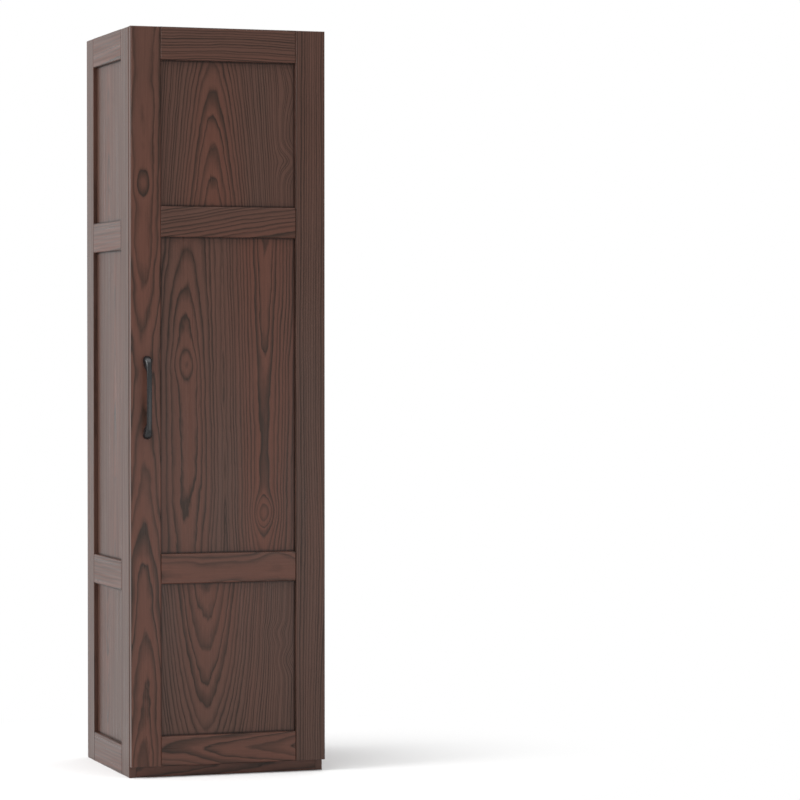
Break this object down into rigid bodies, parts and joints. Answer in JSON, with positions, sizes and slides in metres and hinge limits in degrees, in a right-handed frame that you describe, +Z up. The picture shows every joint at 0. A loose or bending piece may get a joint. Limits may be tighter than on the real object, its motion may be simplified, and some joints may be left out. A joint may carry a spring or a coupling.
{
  "type": "tall storage cabinet",
  "caption": "Tall narrow wood-grain storage cabinet with framed sides and a framed full-height door on concealed hinges, shelves inside and a black bar handle.",
  "frame": {"origin": "on the floor, below the middle of the whole object's box", "axes": "+Z up, +X to the right seen from the front, the door faces -Y"},
  "size_m": [0.485, 0.474, 1.8],
  "materials": {
    "dark_wood": "satin reddish-brown wood grain",
    "back_board": "thin dark-brown hardboard",
    "dowel_wood": "bare beech",
    "nickel": "bright nickel plate",
    "bumper_plastic": "pale soft plastic",
    "black_metal": "black satin powder coat",
    "screw_steel": "zinc plate"
  },
  "bodies": {
    "carcass": {"left_front_stile": "dark_wood", "left_rear_stile": "dark_wood", "left_bottom_rail": "dark_wood", "left_lower_rail": "dark_wood", "left_upper_rail": "dark_wood", "left_top_rail": "dark_wood", "left_lower_panel": "dark_wood", "left_middle_panel": "dark_wood", "left_upper_panel": "dark_wood", "right_front_stile": "dark_wood", "right_rear_stile": "dark_wood", "right_bottom_rail": "dark_wood", "right_lower_rail": "dark_wood", "right_upper_rail": "dark_wood", "right_top_rail": "dark_wood", "right_lower_panel": "dark_wood", "right_middle_panel": "dark_wood", "right_upper_panel": "dark_wood", "bottom_board": "dark_wood", "kick_board": "dark_wood", "rear_kick_board": "dark_wood", "front_top_rail": "dark_wood", "top_board": "dark_wood", "rear_top_rail": "dark_wood", "lower_shelf": "dark_wood", "middle_shelf": "dark_wood", "upper_shelf": "dark_wood", "back_panel": "back_board", "carcass_dowels": "dowel_wood", "shelf_pins": "nickel", "shelf_stiffener": "nickel", "door_bumper": "bumper_plastic", "hinge_1_plate": "nickel", "hinge_2_plate": "nickel", "hinge_3_plate": "nickel", "hinge_4_plate": "nickel", "hinge_1_arm": "nickel", "hinge_2_arm": "nickel", "hinge_3_arm": "nickel", "hinge_4_arm": "nickel", "hinge_arm_pins": "nickel", "hinge_plate_screws": "nickel"},
    "hinge_links": {"hinge_links": "nickel"},
    "door": {"door_handle_stile": "dark_wood", "door_hinge_stile": "dark_wood", "door_bottom_rail": "dark_wood", "door_lower_rail": "dark_wood", "door_upper_rail": "dark_wood", "door_top_rail": "dark_wood", "door_lower_panel": "dark_wood", "door_middle_panel": "dark_wood", "door_upper_panel": "dark_wood", "hinge_1_cup": "nickel", "hinge_2_cup": "nickel", "hinge_3_cup": "nickel", "hinge_4_cup": "nickel", "hinge_cup_pins": "nickel", "hinge_cup_screws": "nickel", "handle": "black_metal", "handle_screws": "screw_steel"}
  },
  "joints": [
    {"name": "hinge_link_swing", "type": "hinge", "parent": "carcass", "child": "hinge_links", "pos_m": [0.1835, -0.1828, 0.897], "axis": [0, 0, 1], "range_deg": [-64, 0]},
    {"name": "door_swing", "type": "hinge", "parent": "hinge_links", "child": "door", "pos_m": [0.2211, -0.1892, 0.897], "axis": [0, 0, 1], "range_deg": [0, 160]}
  ],
  "couplings": [
    {"joint": "hinge_link_swing", "follows": "door_swing", "ratio": -0.4}
  ]
}
